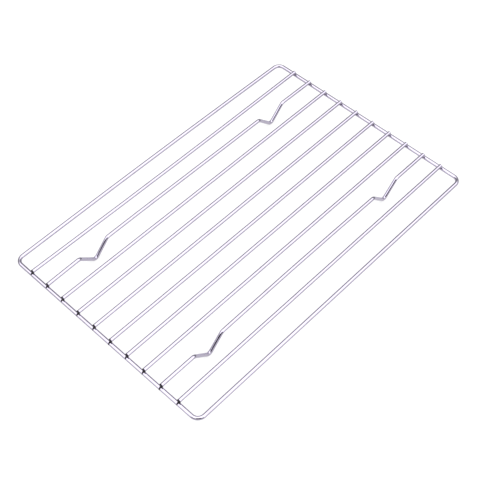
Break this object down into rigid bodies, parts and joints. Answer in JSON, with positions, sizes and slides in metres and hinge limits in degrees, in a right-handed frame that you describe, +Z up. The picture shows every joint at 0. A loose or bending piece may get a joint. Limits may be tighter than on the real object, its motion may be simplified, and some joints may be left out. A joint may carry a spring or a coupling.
{
  "type": "cooling rack",
  "caption": "Rectangular wire cooling rack: parallel slat wires welded across a closed ring with rounded corners, standing on V-shaped feet bent into two of the slats.",
  "frame": {"origin": "on the surface the rack stands on, under the middle of its bounding box", "axes": "+X along the slat wires, +Y across them towards the back, +Z up"},
  "size_m": [0.3842, 0.2592, 0.0207],
  "materials": {
    "bright_wire": "bright mirror plating, near-white in a white room, with faint drawing lines along the wire",
    "weld_metal": "plated over but duller and darker than the wire"
  },
  "bodies": {
    "root": {"frame_ring": "bright_wire", "slat_wire_01": "bright_wire", "foot_wire_02": "bright_wire", "slat_wire_03": "bright_wire", "slat_wire_04": "bright_wire", "slat_wire_05": "bright_wire", "slat_wire_06": "bright_wire", "slat_wire_07": "bright_wire", "slat_wire_08": "bright_wire", "foot_wire_09": "bright_wire", "slat_wire_10": "bright_wire", "weld_left_01": "weld_metal", "weld_right_01": "weld_metal", "weld_left_02": "weld_metal", "weld_right_02": "weld_metal", "weld_left_03": "weld_metal", "weld_right_03": "weld_metal", "weld_left_04": "weld_metal", "weld_right_04": "weld_metal", "weld_left_05": "weld_metal", "weld_right_05": "weld_metal", "weld_left_06": "weld_metal", "weld_right_06": "weld_metal", "weld_left_07": "weld_metal", "weld_right_07": "weld_metal", "weld_left_08": "weld_metal", "weld_right_08": "weld_metal", "weld_left_09": "weld_metal", "weld_right_09": "weld_metal", "weld_left_10": "weld_metal", "weld_right_10": "weld_metal"}
  },
  "joints": []
}
